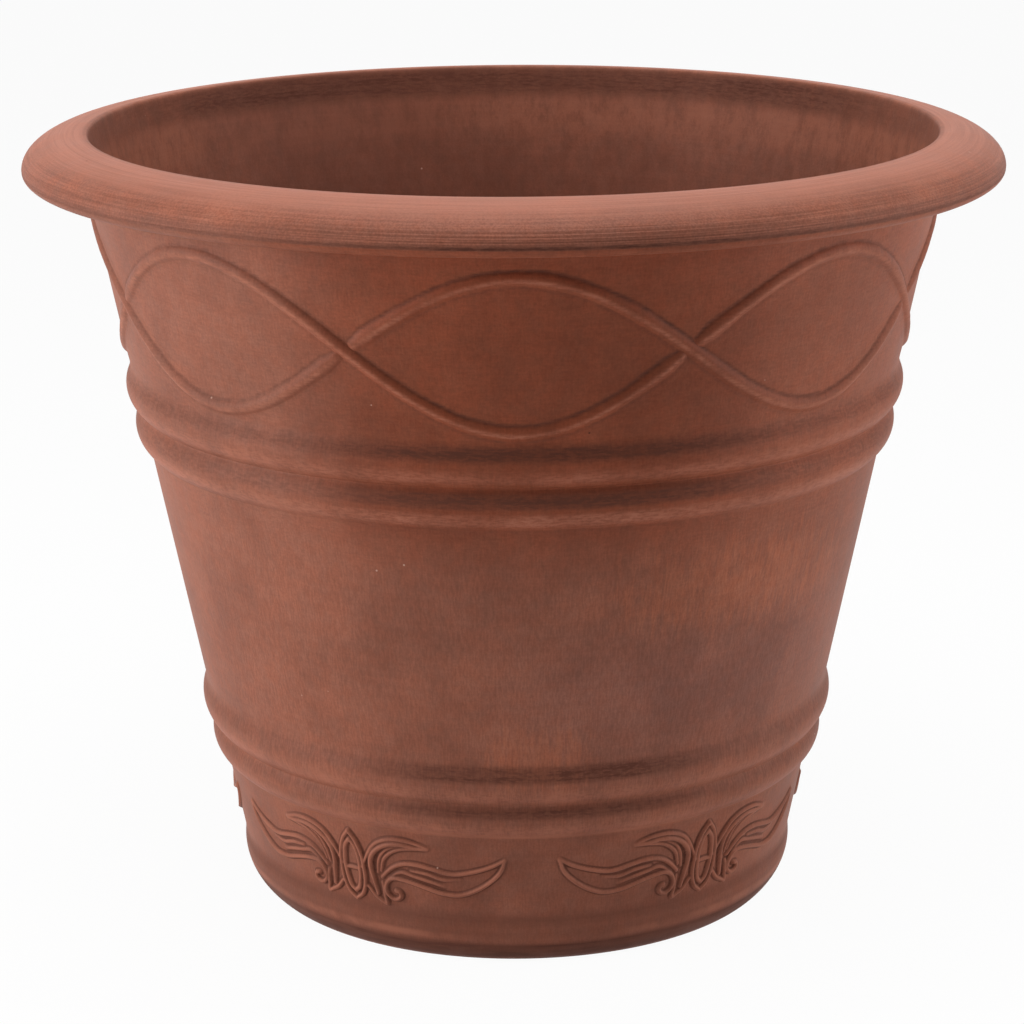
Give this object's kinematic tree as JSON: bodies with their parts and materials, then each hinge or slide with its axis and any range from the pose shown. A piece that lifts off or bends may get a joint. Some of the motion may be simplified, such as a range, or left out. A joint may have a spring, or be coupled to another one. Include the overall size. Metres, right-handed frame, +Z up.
{
  "type": "planter",
  "caption": "Round tapered planter with a rolled rim, paired turned beads, waving cords in relief under the rim, leaf sprays round the foot and a pull-out drain stopper.",
  "frame": {"origin": "centre of the pot's foot, on the ground it stands on", "axes": "+Z up along the pot's axis, -Y towards the pictured front, +X to the viewer's right"},
  "size_m": [0.5078, 0.5078, 0.4093],
  "materials": {
    "terracotta": "semi-matte terracotta-brown composite with a dark wash in the recesses and rubbed edges",
    "stopper": "matte black rubber"
  },
  "bodies": {
    "pot": {"pot_shell": "terracotta", "wave_strand_1": "terracotta", "wave_strand_2": "terracotta", "wave_strand_3": "terracotta", "wave_strand_4": "terracotta", "wave_strand_5": "terracotta", "wave_strand_6": "terracotta", "wave_strand_7": "terracotta", "wave_strand_8": "terracotta", "leaf_spray_1": "terracotta", "leaf_spray_2": "terracotta", "leaf_spray_3": "terracotta", "leaf_spray_4": "terracotta", "leaf_spray_5": "terracotta"},
    "stopper": {"drain_plug": "stopper"}
  },
  "joints": [
    {"name": "stopper_lift", "type": "slide", "parent": "pot", "child": "stopper", "axis": [0, 0, 1], "range_m": [0, 0.42]}
  ]
}
